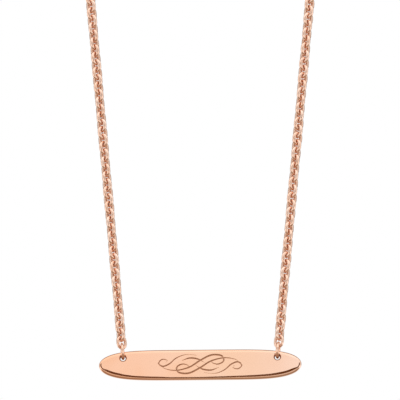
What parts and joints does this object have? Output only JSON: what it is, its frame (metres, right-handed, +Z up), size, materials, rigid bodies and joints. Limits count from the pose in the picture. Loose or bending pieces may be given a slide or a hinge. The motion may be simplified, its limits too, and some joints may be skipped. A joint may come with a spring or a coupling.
{
  "type": "nameplate necklace",
  "caption": "Rose gold necklace with a long oval plate hung by its ends from a cable chain, shown hanging as a closed loop with a spring ring clasp at the top",
  "frame": {"origin": "the top of the loop, at the middle of the clasp, where a hook or a wearer's neck holds the necklace up", "axes": "+Z up along the hanging loop, +X to the right as seen from the front, the front face of the plate looks towards -Y"},
  "size_m": [0.0576, 0.0034, 0.1785],
  "materials": {
    "plate_metal": "rose gold plating on silver, polished, with fine scratches",
    "wire_metal": "rose gold plating on drawn silver wire",
    "clasp_metal": "rose gold plating on silver, polished"
  },
  "bodies": {
    "chain": {"chain_left": "wire_metal", "chain_right": "wire_metal", "clasp": "clasp_metal", "clasp_ring": "wire_metal", "end_ring": "wire_metal"},
    "pendant": {"nameplate": "plate_metal", "jump_ring_left": "wire_metal", "jump_ring_right": "wire_metal"}
  },
  "joints": [
    {"name": "pendant_swing", "type": "hinge", "parent": "chain", "child": "pendant", "pos_m": [0, 0, -0.16916], "axis": [1, 0, 0], "range_deg": [-40, 40]}
  ]
}
